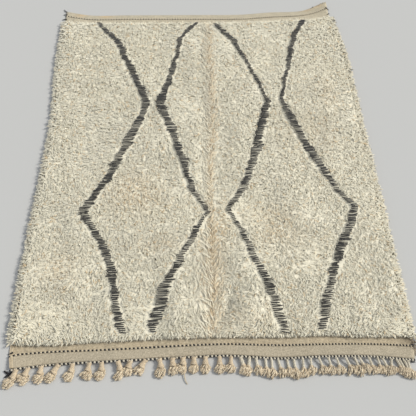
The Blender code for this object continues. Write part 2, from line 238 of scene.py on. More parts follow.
# The three twined cords: the line of the plan that each follows and how far past it, the height over the
# cloth's underside where it lies, how far its left end hooks out, how many times as thick as its yarns it
# is, the black yarn's bias, the height that it is pressed down to, its pale wool, its slot and its solid
CORDS = (
    Cord("near_cord", "near_cord", 0.0, WEAVE_THICKNESS, 0.008, 1.20, 0.10, 0.0090, "ecru",
         "twined_cord", "near_twined_cord"),
    Cord("far_cord", "far_cord", 0.0, WEAVE_THICKNESS, 0.0, 1.45, -0.55, 0.0046, "ecru",
         "twined_cord", "far_twined_cord"),
    Cord("hem_cord", "near_hem", -HEM_CORD_DROP, 0.0034, 0.003, 1.22, 0.25, 0.0200, "cream",
         "fringe", "near_fringe"),
)

Tassel = namedtuple("Tassel", "root lean reach clump bow", defaults=(0.0,))
# Each tassel of the fringe, left to right, as it lies: where it hangs from the hem, how far its tip leans,
# how far it reaches out, how wide its loose end spreads, and how far it bows aside
TASSELS = tuple(Tassel(*row) for row in (
    (-0.747, -0.037, 0.060, 0.018), (-0.705, -0.028, 0.052, 0.022), (-0.656, -0.019, 0.054, 0.021, 0.008),
    (-0.590, -0.038, 0.058, 0.017, -0.010), (-0.537, -0.023, 0.058, 0.017, 0.008),
    (-0.473, -0.013, 0.056, 0.022), (-0.426, -0.015, 0.058, 0.017, 0.010),
    (-0.364, -0.002, 0.064, 0.019, 0.018), (-0.315, -0.019, 0.050, 0.018, -0.006),
    (-0.258, -0.035, 0.050, 0.018, -0.012), (-0.205, -0.001, 0.064, 0.019, 0.010),
    (-0.155, 0.004, 0.058, 0.017), (-0.115, -0.014, 0.052, 0.018, 0.008), (-0.073, -0.002, 0.054, 0.016),
    (-0.028, -0.003, 0.058, 0.017), (0.026, -0.002, 0.057, 0.018), (0.070, -0.006, 0.054, 0.017),
    (0.106, 0.011, 0.057, 0.014, 0.010), (0.141, -0.016, 0.058, 0.014), (0.166, 0.009, 0.054, 0.013),
    (0.202, 0.000, 0.058, 0.014), (0.226, -0.003, 0.061, 0.013), (0.251, 0.015, 0.058, 0.013),
    (0.285, 0.008, 0.057, 0.015), (0.311, 0.008, 0.063, 0.014), (0.345, 0.000, 0.061, 0.015),
    (0.375, 0.001, 0.053, 0.013), (0.405, 0.015, 0.053, 0.015, 0.010),
    (0.441, 0.008, 0.055, 0.014, 0.010), (0.471, 0.015, 0.054, 0.014, 0.010),
    (0.507, 0.024, 0.055, 0.015, 0.010), (0.541, 0.021, 0.058, 0.013, 0.010),
    (0.559, 0.025, 0.046, 0.012, 0.010), (0.597, 0.015, 0.054, 0.015, 0.010),
    (0.630, 0.006, 0.050, 0.014, 0.010), (0.650, 0.021, 0.054, 0.012, 0.010),
    (0.687, 0.001, 0.046, 0.013, -0.010), (0.704, 0.014, 0.046, 0.011, 0.010),
    (0.715, 0.018, 0.054, 0.011, 0.010), (0.731, 0.016, 0.054, 0.011, 0.010),
    (0.747, 0.006, 0.058, 0.012),
))

# ---------------------------------------------------------------- wool colours
IVORY = (0.772, 0.723, 0.566, 1)
# Paler than the tip: painted light that lifts the shade between the locks
IVORY_ROOT_PAINTED_LIGHT = (0.870, 0.805, 0.628, 1)
TAN = (0.70, 0.535, 0.320, 1)
# Brown deep in the old fold: painted shade in its partings over tan wool
PARTING_PAINTED_SHADE = (0.30, 0.20, 0.115, 1)
CHARCOAL = (0.030, 0.029, 0.026, 1)
CHARCOAL_TIP = (0.044, 0.042, 0.037, 1)
# Dimmed cream of the slits between bars: the wool there, partly painted shade
SLIT_CREAM_AND_SHADE = (0.66, 0.62, 0.49, 1)
ECRU = (0.57, 0.485, 0.335, 1)
ECRU_DARK = (0.38, 0.315, 0.215, 1)
ECRU_WARM = (0.58, 0.47, 0.31, 1)
ECRU_YARN = (0.58, 0.50, 0.36, 1)
HEM_ECRU = (0.42, 0.375, 0.285, 1)
FAR_ECRU = (0.56, 0.515, 0.385, 1)
STAIN_ORANGE = (0.62, 0.44, 0.24, 1)
CORNER_BROWN = (0.16, 0.125, 0.085, 1)
SELVEDGE = (0.48, 0.395, 0.265, 1)
SELVEDGE_PALE = (0.56, 0.475, 0.335, 1)
FRAYED = (0.17, 0.135, 0.10, 1)
FRAYED_PALE = (0.38, 0.31, 0.22, 1)
FRINGE_WOOL = (0.80, 0.69, 0.50, 1)
FRINGE_DULL = (0.64, 0.53, 0.37, 1)
FRINGE_SHADE = (0.54, 0.43, 0.29, 1)
BLACK_WOOL = (0.012, 0.011, 0.011, 1)
BLACK_WORN = (0.030, 0.028, 0.027, 1)
CREAM_WOOL = (0.57, 0.51, 0.385, 1)
CREAM_PALE = (0.68, 0.62, 0.49, 1)
FLOOR_PALE = (0.520, 0.515, 0.490, 1)
KEY_COLOUR = (1.0, 0.975, 0.93)
SKY_COLOUR = (0.86, 0.91, 1.0, 1)


# ---------------------------------------------------------------- reading the plan
def read(table, column, at):
    """A column's values at places along the table's first column, on a smooth curve through its rows."""
    spots = np.array([row[0] for row in table])
    values = np.array([getattr(row, column) for row in table])
    last = len(spots) - 1
    low = np.maximum(np.arange(last + 1) - 1, 0)
    high = np.minimum(np.arange(last + 1) + 1, last)
    slopes = (values[high] - values[low]) / (spots[high] - spots[low])
    at = np.clip(at, spots[0], spots[-1])
    k = np.clip(np.searchsorted(spots, at, side="right") - 1, 0, last - 1)
    step = spots[k + 1] - spots[k]
    t = (at - spots[k]) / step
    start = (1 + 2 * t) * (1 - t) ** 2 * values[k] + t * (1 - t) ** 2 * step * slopes[k]
    end = t * t * (3 - 2 * t) * values[k + 1] + t * t * (t - 1) * step * slopes[k + 1]
    return start + end


def row_y(low, high, share, x):
    """y at x of the line at a share of the way from one of the plan's lines to another."""
    return (1 - share) * read(ENDS, low, x) + share * read(ENDS, high, x)


def plan_point(across, low, high, share, out=0.0):
    """x and y of a place on the rug: across runs 0 to 1 from its left edge to its right one, and share runs
    0 to 1 from the low line of the plan to the high one. Out moves both edges outwards."""
    y = row_y(low, high, share, ENDS[0].x + across * (ENDS[-1].x - ENDS[0].x))
    left = read(SIDES, "left", y) - out
    right = read(SIDES, "right", y) + out
    return left + across * (right - left), y


def spaces_away(x, y, patch):
    """Squared distance of each place from a patch's middle, counted in the patch's reaches."""
    return ((x - patch.x) / patch.reach_x) ** 2 + ((y - patch.y) / patch.reach_y) ** 2


def lift(x, y):
    """How far the underside of the weave stands above the floor."""
    height = 0.0
    for bump in LIFTS:
        height = height + bump.rise * np.maximum(0.0, 1 - spaces_away(x, y, bump)) ** 2
    return height


def crease_x(y):
    """x of the old fold at each y."""
    return 0.020 + 0.028 * y + 0.006 * np.sin(7 * y) + 0.003 * np.sin(26 * y)


def field(x, y, span, seed):
    """Smooth noise between about -1 and 1 at each place, whose patches are span wide."""
    return np.array([noise.noise((a / span, b / span, seed)) for a, b in zip(x, y)]) * 1.6


def surface(x, y):
    """Height of the solid pile's top at each place, read a little further in towards the rug's middle so
    that it holds up to the very edge."""
    down = Vector((0, 0, -1))
    heights = []
    for a, b in zip(x, y):
        for drawn_in in (0.985, 0.965, 0.945):
            hit = pile_tree.ray_cast(Vector((a * drawn_in, b * drawn_in, 1)), down)[0]
            if hit:
                break
        heights.append(hit.z if hit else WEAVE_THICKNESS)
    return np.array(heights)


def pile_top(x, y):
    """The pile's surface: the solid's, with the soft swells and hollows that the rug lies in."""
    top = surface(x, y)
    more = DENT_DEPTH * field(x, y, DENT_SPAN, 9.2)
    for swell in SWELLS:
        turn = radians(swell.heading)
        along = (x - swell.x) * cos(turn) + (y - swell.y) * sin(turn)
        across = (y - swell.y) * cos(turn) - (x - swell.x) * sin(turn)
        fades = np.exp(-(along / swell.reach_along) ** 2 - (across / swell.reach_across) ** 2)
        more = more + swell.rise * fades
    return top + more * np.clip((top - 0.012) / 0.010, 0, 1)


def inside_ends(x, y):
    """How far inside the nearer of the pile's two borders each place is."""
    return np.minimum(y - read(ENDS, "near_border", x), read(ENDS, "far_border", x) - y)


def shag_top(x, y):
    """The pile's surface, rounded off towards its four edges."""
    inside_sides = np.minimum(x - read(SIDES, "left", y), read(SIDES, "right", y) - x)
    inside = np.maximum(np.minimum(inside_ends(x, y), inside_sides), 0)
    return np.minimum(pile_top(x, y), np.where(y < 0, NEAR_RIM_TOP, FAR_RIM_TOP) + RIM_SLOPE * inside)


def pile_normals(x, y):
    """Which way the pile's broad surface faces at each place, level along its two borders."""
    faded = np.clip((inside_ends(x, y) - 0.010) / 0.020, 0, 1)
    slope_x = (pile_top(x + SLOPE_REACH, y) - pile_top(x - SLOPE_REACH, y)) / (2 * SLOPE_REACH)
    slope_y = (pile_top(x, y + SLOPE_REACH) - pile_top(x, y - SLOPE_REACH)) / (2 * SLOPE_REACH) * faded
    slopes = [-np.clip(slope, -STEEPEST, STEEPEST) for slope in (slope_x, slope_y)]
    broad = np.stack([*slopes, np.ones(len(x))], axis=-1)
    return broad / np.linalg.norm(broad, axis=1)[:, None]


def zigzag_x(bends, y):
    """x of a zigzag line at each y, straight from bend to bend, and its width there, none past its ends."""
    spots = [bend.y for bend in reversed(bends)]
    x = np.interp(y, spots, [bend.x for bend in reversed(bends)])
    width = np.interp(y, spots, [bend.width for bend in reversed(bends)])
    width = np.where((y > spots[-1]) | (y < spots[0]), 0.0, width)
    return x, width


# ---------------------------------------------------------------- modelling helpers
def deselect():
    for item in bpy.context.selected_objects:
        item.select_set(False)


def finished(piece, name, material, slot, *nodes):
    """Names the piece, gives it its material and ties it to the frame."""
    piece.name = name
    piece.data.name = name
    piece.data.materials.clear()
    piece.data.materials.append(material)
    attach(piece, "root")
    if nodes:
        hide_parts(*nodes)


def vertex_values(piece, name, values):
    layer = piece.data.attributes.new(name, "FLOAT", "POINT")
    layer.data.foreach_set("value", np.asarray(values, np.float32))


def places_of(piece):
    places = np.zeros(len(piece.data.vertices) * 3)
    piece.data.vertices.foreach_get("co", places)
    return places.reshape(-1, 3)


def set_places(piece, places):
    piece.data.vertices.foreach_set("co", np.asarray(places, np.float32).ravel())
    piece.data.update()


def select_whole(piece):
    deselect()
    bpy.context.view_layer.objects.active = piece
    piece.select_set(True)


@contextmanager
def edit_mode(whole=True):
    """Edit mode, with the whole mesh selected, or else only what is selected already."""
    bpy.ops.object.mode_set(mode="EDIT")
    if whole:
        bpy.ops.mesh.select_all(action="SELECT")
    yield
    bpy.ops.object.mode_set(mode="OBJECT")


def yarns(strands, radius, sides):
    """One mesh of round yarns. Each strand is a list of (place, size), size being a share of the radius."""
    curve = bpy.data.curves.new("yarns", "CURVE")
    curve.dimensions = "3D"
    curve.use_fill_caps = True
    bpy.ops.curve.primitive_bezier_circle_add(radius=radius)
    outline = bpy.context.object
    outline.data.splines.clear()
    ring = outline.data.splines.new("POLY")
    ring.points.add(sides - 1)
    for k, point in enumerate(ring.points):
        point.co = (radius * cos(tau * k / sides), radius * sin(tau * k / sides), 0, 1)
    ring.use_cyclic_u = True
    curve.bevel_mode = "OBJECT"
    curve.bevel_object = outline
    for strand in strands:
        spline = curve.splines.new("POLY")
        spline.points.add(len(strand) - 1)
        for point, (place, size) in zip(spline.points, strand):
            point.co = (*place, 1)
            point.radius = size
    piece = bpy.data.objects.new("yarns", curve)
    bpy.context.scene.collection.objects.link(piece)
    select_whole(piece)
    bpy.ops.object.convert(target="MESH")
    piece = bpy.context.object
    with edit_mode():
        bpy.ops.mesh.remove_doubles(threshold=0.00001)
        bpy.ops.mesh.normals_make_consistent(inside=False)
    bpy.ops.object.shade_smooth()
    bpy.data.objects.remove(outline)
    return piece


# ---------------------------------------------------------------- locks of wool
def spindle(foot, waist, root, tip):
    """One straight lock a unit long, modelled once: three-sided, from a foot radius at its root to a waist
    radius further up, and drawn out from there to a point. It gives the lock's places and faces."""
    deselect()
    bpy.ops.mesh.primitive_cone_add(vertices=3, radius1=foot, radius2=waist, depth=tip - root,
                                    end_fill_type="NGON", location=(0, 0, 0.5 * (root + tip)))
    lock = bpy.context.object
    bpy.ops.object.transform_apply(location=True)
    with edit_mode(whole=False):
        bpy.ops.mesh.select_all(action="DESELECT")
    for face in lock.data.polygons:
        face.select = abs(face.center.z - tip) < 0.01
    with edit_mode(whole=False):
        bpy.ops.mesh.poke()
        bpy.ops.mesh.select_all(action="DESELECT")
    for corner in lock.data.vertices:
        corner.select = corner.co.to_2d().length < 0.01
    with edit_mode(whole=False):
        bpy.ops.transform.translate(value=(0, 0, 1 - tip))
    with edit_mode():
        bpy.ops.mesh.quads_convert_to_tris()
        bpy.ops.mesh.normals_make_consistent(inside=False)
    places = places_of(lock)
    faces = np.array([tuple(face.vertices) for face in lock.data.polygons])
    bpy.data.objects.remove(lock)
    return places, faces


# A column of values for each: where a lock's root is, which way it points, how far it leans over there and
# bends from there, how far it curls aside, its size, its shade and how tan it is
Locks = namedtuple("Locks", "x y z heading lean bend curl length width tone tan")


def joined(*groups):
    return Locks(*(np.concatenate(columns) for columns in zip(*groups)))


def chosen(locks, which):
    return Locks(*(column[which] for column in locks))


def eased(height):
    """Heights kept softly between the floor and the pile's ceiling."""
    low = FLOOR_GAP + FLOOR_EASE * np.exp((height - FLOOR_REACH) / FLOOR_EASE)
    height = np.where(height < FLOOR_REACH, low, height)
    over = np.maximum(height - PILE_CEILING, 0)
    return np.minimum(height, PILE_CEILING) + CEILING_EASE * (1 - np.exp(-over / CEILING_EASE))


def strew(locks, form):
    """One mesh of all the locks: each a copy of the spindle, bent over in its heading and curled aside."""
    places, faces = form
    along = np.clip(places[:, 2], 0, 1)
    columns = [np.asarray(column, float)[:, None] for column in locks[:-2]]
    x, y, z, heading, lean, bend, curl, length, width = columns
    gone_forward, gone_aside, gone_up = 0.0, 0.0, 0.0
    for step in range(BEND_STEPS):
        share = along * (step + 0.5) / BEND_STEPS
        tip_over = lean + bend * share
        turn = curl * share
        piece = along / BEND_STEPS
        gone_forward = gone_forward + np.sin(tip_over) * np.cos(turn) * piece
        gone_aside = gone_aside + np.sin(tip_over) * np.sin(turn) * piece
        gone_up = gone_up + np.cos(tip_over) * piece
    tip_over = lean + bend * along
    forward = gone_forward * length + places[:, 0] * np.cos(tip_over) * width
    aside = gone_aside * length + places[:, 1] * width
    up = gone_up * length - places[:, 0] * np.sin(tip_over) * width
    out = np.stack([
        x + forward * np.cos(heading) - aside * np.sin(heading),
        y + forward * np.sin(heading) + aside * np.cos(heading),
        eased(z + up),
    ], axis=-1)
    count, corners = len(locks.x), len(places)
    all_faces = faces[None] + corners * np.arange(count)[:, None, None]
    mesh = bpy.data.meshes.new("locks")
    mesh.from_pydata(out.reshape(-1, 3), [], all_faces.reshape(-1, 3))
    piece = bpy.data.objects.new("locks", mesh)
    bpy.context.scene.collection.objects.link(piece)
    mesh.shade_smooth()
    soften(mesh, np.repeat(pile_normals(locks.x, locks.y), corners, axis=0))
    vertex_values(piece, "along", np.tile(along, count))
    vertex_values(piece, "tone", np.repeat(locks.tone, corners))
    vertex_values(piece, "tan", np.repeat(locks.tan, corners))
    bake_cells(piece, places, along, faces, count)
    return piece


def soften(mesh, broad):
    """Turns the shading normals towards the pile's own, as wool scatters the light that falls on it."""
    own = np.zeros(len(mesh.vertices) * 3, np.float32)
    mesh.vertex_normals.foreach_get("vector", own)
    blended = (1 - SOFTNESS) * own.reshape(-1, 3) + SOFTNESS * broad
    blended /= np.linalg.norm(blended, axis=1)[:, None]
    mesh.normals_split_custom_set_from_vertices(blended.tolist())


def bake_cells(piece, places, along, faces, count):
    """A UV map for the bake, with a square cell for each lock, root to tip up the cell."""
    cells = int(np.ceil(np.sqrt(count)))
    local = np.stack([0.5 + 0.8 * places[:, 1], 0.08 + 0.8 * along + 0.06 * places[:, 0]], axis=-1)
    corner = np.stack([np.arange(count) % cells, np.arange(count) // cells], axis=-1)
    uv = (corner[:, None, None] + local[faces][None]) / cells
    layer = piece.data.uv_layers.new(name="OFBake")
    layer.data.foreach_set("uv", uv.astype(np.float32).ravel())


def knots(draw):
    """Every cream knot of the pile, row by row."""
    rows = int((MIDDLE.far_border - MIDDLE.near_border) / KNOT_PITCH)
    count = int(MIDDLE_WIDTH / KNOT_PITCH)
    row, column = np.meshgrid(np.arange(rows), np.arange(count), indexing="ij")
    row, column = row.ravel(), column.ravel()
    across = (column + 0.5 + draw.uniform(-0.45, 0.45, len(row))) / count
    along = ((row + 0.5 + draw.uniform(-0.45, 0.45, len(row))) / rows) ** ROW_CROWDING
    return plan_point(across, "near_border", "far_border", along, PILE_PAST_WEAVE)


def line_distance(x, y):
    """Distance across the rug from each place to the edge of the nearest zigzag line, negative on the
    line, and which side of that line the place is on."""
    nearest, side = np.full(len(x), BEYOND_LINES), np.zeros(len(x))
    for bends in ZIGZAGS:
        middle, width = zigzag_x(bends, y)
        gap = np.where(width > 0, np.abs(x - middle) - width / 2, BEYOND_LINES)
        side = np.where(gap < nearest, np.sign(x - middle), side)
        nearest = np.minimum(nearest, gap)
    return nearest, side


def clumped(x, y, seed):
    """Which way locks lean so that they gather in clumps: up the slope of a patchy noise."""
    here = field(x, y, CLUMP_SPAN, seed)
    pull_x = (field(x + CLUMP_STEP, y, CLUMP_SPAN, seed) - here) / CLUMP_STEP * CLUMP_PULL
    pull_y = (field(x, y + CLUMP_STEP, CLUMP_SPAN, seed) - here) / CLUMP_STEP * CLUMP_PULL
    return pull_x, pull_y


def chances(draw, count):
    """Two makers of values for count locks, new at each call: even from 0 to 1, and bell-shaped round 0."""
    return lambda: draw.uniform(0, 1, count), lambda: draw.normal(0, 1, count)


def turned(chance, heading, share, other):
    """Headings of which a share are changed to another."""
    return np.where(chance < share, other, heading)


def tip_gap(x, y, heading, length):
    """Distance from the tips of locks to the nearest zigzag line."""
    return line_distance(x + 0.8 * length * np.cos(heading), y + 0.8 * length * np.sin(heading))[0]


def wool_locks(draw):
    """The cream locks of the pile: curly, gathered in clumps, and combed to the old fold where it runs."""
    x, y = knots(draw)
    gap, side = line_distance(x, y)
    in_fold = np.abs(x - crease_x(y)) < PARTING
    thinned = draw.uniform(0, 1, len(x)) < np.interp(y, FOLD_FADE, (0.55, 0.30))
    keep = (gap > LINE_MARGIN) & ~(in_fold & thinned)
    x, y, gap, side = x[keep], y[keep], gap[keep], side[keep]
    count = len(x)
    even, bell = chances(draw, count)

    # which way each one points: round its clump's lean, or else to the fold, out over an edge or off a line
    sway = -pi / 2 + radians(110) * field(x, y, SWAY_SPAN, 3.1)
    pull_x, pull_y = clumped(x, y, 6.6)
    loose = draw.uniform(0, tau, count)
    heading = np.arctan2(np.sin(sway) + 0.25 * pull_y + 0.65 * np.sin(loose),
                         np.cos(sway) + 0.25 * pull_x + 0.65 * np.cos(loose))
    off = x - crease_x(y)
    combed = np.exp(-(off / CREASE_REACH) ** 2) * np.interp(y, FOLD_FADE, (1.0, 0.7))
    toward = np.where(off > 0, radians(-125), radians(-55)) + radians(20) * bell()
    heading = turned(even(), heading, combed, toward)
    out_left = np.clip(1 - (x - read(SIDES, "left", y)) / EDGE_REACH, 0, 1)
    out_right = np.clip(1 - (read(SIDES, "right", y) - x) / EDGE_REACH, 0, 1)
    outward = np.where(out_left > out_right, pi, 0.0) + radians(50) * bell()
    heading = turned(even(), heading, 1.2 * np.maximum(out_left, out_right), outward)
    beside = np.clip(0.6 - gap / LINE_REACH, 0, 1)
    away = np.where(side > 0, 0.0, pi) + radians(35) * bell()
    heading = turned(even(), heading, beside, away)

    # how long each one is: those whose tip would lie on a line turn back or are cut short
    length = np.clip(LOCK_LENGTH + 0.004 * bell(), 0.018, 0.036)
    heading = np.where(tip_gap(x, y, heading, length) < 0.006, pi - heading, heading)
    length = np.where(tip_gap(x, y, heading, length) < 0.004, 0.5 * length, length)
    for edge, sign, overhang in (("near_border", -1, 0.006), ("far_border", 1, 0.003)):
        spare = np.maximum(sign * (read(ENDS, edge, x) - y) + overhang, 0.003)
        gone = sign * np.sin(heading) * 0.85 * length
        length = np.where(gone > spare, length * spare / np.maximum(gone, 0.001), length)

    # how each one lies
    top = shag_top(x, y)
    z = np.maximum(top - PILE_DEPTH - 0.002 * combed, WEAVE_THICKNESS + 0.0005)
    room = np.clip((top - z) / PILE_DEPTH, 0.0, 1.0)
    lean = radians(34) + radians(16) * even() + radians(30) * (1 - room)
    bend = radians(74) + radians(14) * np.clip(bell(), -1.6, 1.6)
    curl = radians(70) * bell() * (1 - 0.6 * np.maximum(combed, beside))
    width = np.clip(LOCK_WIDTH + 0.0009 * bell(), 0.0032, 0.0070)
    width = width * np.interp(y, (-0.9, 0.2, 0.9), (0.82, 1.05, 1.14))

    # its tone: random and in patches, with painted light and shade besides: paler at the front border,
    # where the locks lie in their own shade, and towards the right, where the sides of the locks turned to
    # the camera face away from the key light; darker at the right edge, which faces it; paler towards the
    # far end; and the tan of old wool
    front = np.clip(1 - (y - read(ENDS, "near_border", x)) / EDGE_REACH, 0, 1)
    tone = 0.5 + 0.14 * bell() + 0.15 * field(x, y, TONE_SPAN, 8.4)
    tone = tone + 0.5 * front - 0.7 * out_right
    tone = tone + 0.45 * x * np.interp(y, (-0.8, 0.1), (0.6, 1.0))
    tone = tone + np.interp(y, (-0.6, 0.0, 0.7), (0.05, 0.0, 0.25))
    tan = 0.6 * np.exp(-(off / PARTING) ** 2) * draw.uniform(0.1, 1, count)
    tan = tan + np.where(even() < TAN_CHANCE, draw.uniform(0.2, 1.1, count), 0.0)
    for patch in TAN_PATCHES:
        tan = tan + patch.strength * np.exp(-1.5 * spaces_away(x, y, patch)) * even()
    return Locks(x, y, z, heading, lean, bend, curl, length * (0.7 + 0.3 * room), width,
                 np.clip(tone, 0, 1), np.clip(tan, 0, 1.4))


Fold = namedtuple("Fold", "side away heading length width tone tan share")
# The combed strands of the old fold, row by row: brown ones along its middle, whose brown is painted shade
# in the partings over tan wool, and tan ones there too, and cream and tan flanks that meet them in a V.
# Away is from the fold's middle, heading is in degrees off its run, and share is how many of a row's places
# carry a strand
FOLDS = (
    Fold(-1, 0.001, 6, 0.028, 0.0028, 0.15, 2.00, 0.55),
    Fold(1, 0.008, 14, 0.024, 0.0026, 0.15, 1.90, 0.50),
    Fold(-1, 0.004, 14, 0.030, 0.0044, 0.90, 0.35, 0.55),
    Fold(-1, 0.006, 12, 0.028, 0.0036, 0.30, 0.85, 0.50),
    Fold(1, 0.011, 18, 0.028, 0.0036, 0.50, 0.75, 0.55),
    Fold(-1, 0.013, 26, 0.040, 0.0048, 1.00, 0.20, 0.80),
    Fold(1, 0.017, 28, 0.038, 0.0046, 0.80, 0.70, 0.80),
    Fold(-1, 0.020, 28, 0.028, 0.0024, 0.15, 1.80, 0.30),
    Fold(-1, 0.026, 36, 0.044, 0.0050, 1.00, 0.10, 0.60),
    Fold(1, 0.024, 30, 0.026, 0.0024, 0.15, 1.70, 0.30),
    Fold(1, 0.029, 36, 0.044, 0.0046, 0.70, 0.50, 0.50),
)


def fold_strands(draw):
    """The long combed strands along the old fold, from the near end to the far one."""
    groups = []
    start, end = MIDDLE.near_border + 0.03, MIDDLE.far_border - 0.02
    count = int((end - start) / STRAND_PITCH)
    even, bell = chances(draw, count)
    for fold in FOLDS:
        y = start + (np.arange(count) + even()) * STRAND_PITCH
        spread = np.interp(y, (-0.80, -0.20, 0.40), (1.7, 1.0, 1.5))
        x = crease_x(y) + fold.side * (fold.away * spread + 0.0036 * bell() * spread)
        heading = -pi / 2 - fold.side * radians(fold.heading) + radians(11) * bell()
        length = fold.length * draw.uniform(0.8, 1.25, count)
        z = pile_top(x, y) - 0.0022 - 0.002 * even()
        lean = radians(64) + radians(8) * even()
        bend = radians(38) + radians(10) * even()
        curl = radians(24) * bell()
        width = fold.width + 0.0006 * bell()
        faded = np.interp(y, (-0.2, 0.3), (0, 0.35))
        tone = np.clip(fold.tone - faded + 0.15 * bell(), 0, 1)
        tan = fold.tan * draw.uniform(0.65, 1.10, count)
        keep = (line_distance(x, y)[0] > 0.012) & (even() < fold.share)
        groups.append(chosen(Locks(x, y, z, heading, lean, bend, curl, length, width, tone, tan), keep))
    return joined(*groups)


Rim = namedtuple("Rim", "heading count reach inset height lean tone")
# The left, right, near and far rims of the pile: which way they face, how many locks a layer has, how far
# they reach and from how far inside, how high they start, how far they lean in degrees, and their tone,
# which is painted light and shade: paler on the left and near rims, which face away from the key light,
# and darker on the right one, which faces it
RIMS = (
    Rim(pi, 400, 0.014, 0.000, 0.0045, 50, 0.80),
    Rim(0.0, 400, 0.014, 0.000, 0.0045, 50, 0.20),
    Rim(-pi / 2, 560, 0.013, 0.010, 0.0075, 74, 1.00),
    Rim(pi / 2, 330, 0.011, 0.011, 0.0045, 44, 0.45),
)
RIM_LAYERS = 3               # of locks, one over the other
LAYER_RISE = 0.0035          # of each layer over the last
LAYER_REACH = 0.004          # of its locks past the last layer's
RIM_LOCK_WIDTH = 0.0066


def rim_locks(draw):
    """The locks that hang out over the pile's rim, on all four sides."""
    groups = []
    for rim in RIMS:
        count = rim.count
        even, bell = chances(draw, count)
        for layer in range(RIM_LAYERS):
            share = (np.arange(count) + even()) / count
            if rim.heading in (pi, 0.0):
                across, along = np.full(count, 0.0 if rim.heading == pi else 1.0), share
            else:
                across, along = share, np.full(count, 0.0 if rim.heading < 0 else 1.0)
            inset = rim.inset + draw.uniform(-0.003, 0.009, count)
            x, y = plan_point(across, "near_border", "far_border", along, PILE_PAST_WEAVE)
            x, y = x - inset * cos(rim.heading), y - inset * sin(rim.heading)
            heading = rim.heading + radians(40) * bell()
            z = draw.uniform(0, 0.004, count) + rim.height + layer * LAYER_RISE
            lean = radians(rim.lean) + radians(18) * even()
            bend = radians(106 - rim.lean) + radians(16) * np.clip(bell(), -1.5, 1.5)
            curl = radians(50) * bell()
            length = rim.reach + 0.0030 * bell() + LAYER_REACH * layer
            width = RIM_LOCK_WIDTH + 0.001 * bell()
            tone = np.clip(rim.tone + 0.20 * bell(), 0, 1)
            tan = 0.25 * even()
            groups.append(Locks(x, y, z, heading, lean, bend, curl, length, width, tone, tan))
    return joined(*groups)


def bars(draw):
    """The zigzag lines, bar by bar: each bar is two charcoal locks lying side by side straight across the
    rug, and a grey one lies lower, in the slit to the next bar: its grey partly the wool's and partly
    painted shade in the slit."""
    dark, grey = [], []
    rows = int((MIDDLE.far_border - MIDDLE.near_border) / BAR_PITCH)
    for bends in ZIGZAGS:
        for row in range(rows):
            share = (row + 0.5) / rows
            guess = np.interp(share, (0, 1), (MIDDLE.near_border, MIDDLE.far_border))
            middle = zigzag_x(bends, guess)[0]
            y = float(row_y("near_border", "far_border", share, float(middle)))
            middle, width = (float(v) for v in zigzag_x(bends, y))
            if width <= 0:
                continue
            loose = max(0.0, uneven(middle, y, 9, 5.5))
            facing = 1 if uneven(middle, y, 5, 2.2) > 0 else -1
            step = 0.008 * uneven(middle, y, 37, 7.7)
            span = width * (1.08 + 0.50 * uneven(middle, y, 23, 1.3)) * draw.uniform(0.88, 1.12)
            start = middle + step - facing * span / 2 + draw.normal(0, 0.0020)
            heading = (0 if facing > 0 else pi) + draw.normal(0, radians(4))
            for place in (-0.0006, 0.0006):
                dark.append((start + draw.normal(0, 0.0008), y + place * (1 + 6 * loose),
                             heading + draw.normal(0, radians(3)), span * draw.uniform(0.95, 1.05)))
            grey.append((start, y + 0.5 * BAR_PITCH, heading, span * draw.uniform(0.8, 1.0)))
    dark = flat_locks(dark, draw, BAR_WIDTH, BAR_RISE)
    grey = flat_locks(grey, draw, SLIT_WIDTH, SLIT_RISE)
    # how far each slit lock goes from charcoal to the slit's cream, darker towards the far end; the grey
    # between is partly painted shade
    paleness = draw.uniform(0.50, 1.20, len(grey.x)) * np.interp(grey.y, (0.0, 0.6), (1.0, 0.40))
    return joined(dark, grey._replace(tan=np.clip(paleness, 0, 1)))


def uneven(x, y, often, seed):
    """Smooth noise at one place, with a given number of patches a metre."""
    return noise.noise((x * often, y * often, seed))


def flat_locks(rows, draw, width, rise):
    """Locks that lie flat, a little arched, with their roots at a rise over the pile's surface."""
    x, y, heading, length = (np.array(column) for column in zip(*rows))
    count = len(x)
    even, bell = chances(draw, count)
    top = pile_top(x + 0.5 * length * np.cos(heading), y)
    z = np.maximum(top + rise, WEAVE_THICKNESS + 0.0015)
    lean = radians(78) + radians(4) * even()
    bend = radians(22) + radians(4) * even()
    curl = radians(6) * bell()
    wide = width * draw.uniform(0.9, 1.1, count)
    tone = np.clip(0.5 + 0.2 * bell(), 0, 1)
    return Locks(x, y, z, heading, lean, bend, curl, length, wide, tone, np.zeros(count))


# ---------------------------------------------------------------- pieces
def plan_grid(across_steps, shares):
    """A flat grid, shaped to the rug's plan: shares lists (low line, high line, share) for each row."""
    deselect()
    bpy.ops.mesh.primitive_grid_add(x_subdivisions=across_steps, y_subdivisions=len(shares) - 1, size=1)
    piece = bpy.context.object
    places = places_of(piece)
    rows = np.rint((places[:, 1] + 0.5) * (len(shares) - 1)).astype(int)
    across = places[:, 0] + 0.5
    for k, (low, high, share) in enumerate(shares):
        here = rows == k
        places[here, 0], places[here, 1] = plan_point(across[here], low, high, share)
    set_places(piece, places)
    return piece


def rows_between(low, high, steps, first=0, last=0):
    """Rows for plan_grid, evenly from one line of the plan to another, less the first or last ones."""
    return [(low, high, k / steps) for k in range(first, steps + 1 - last)]


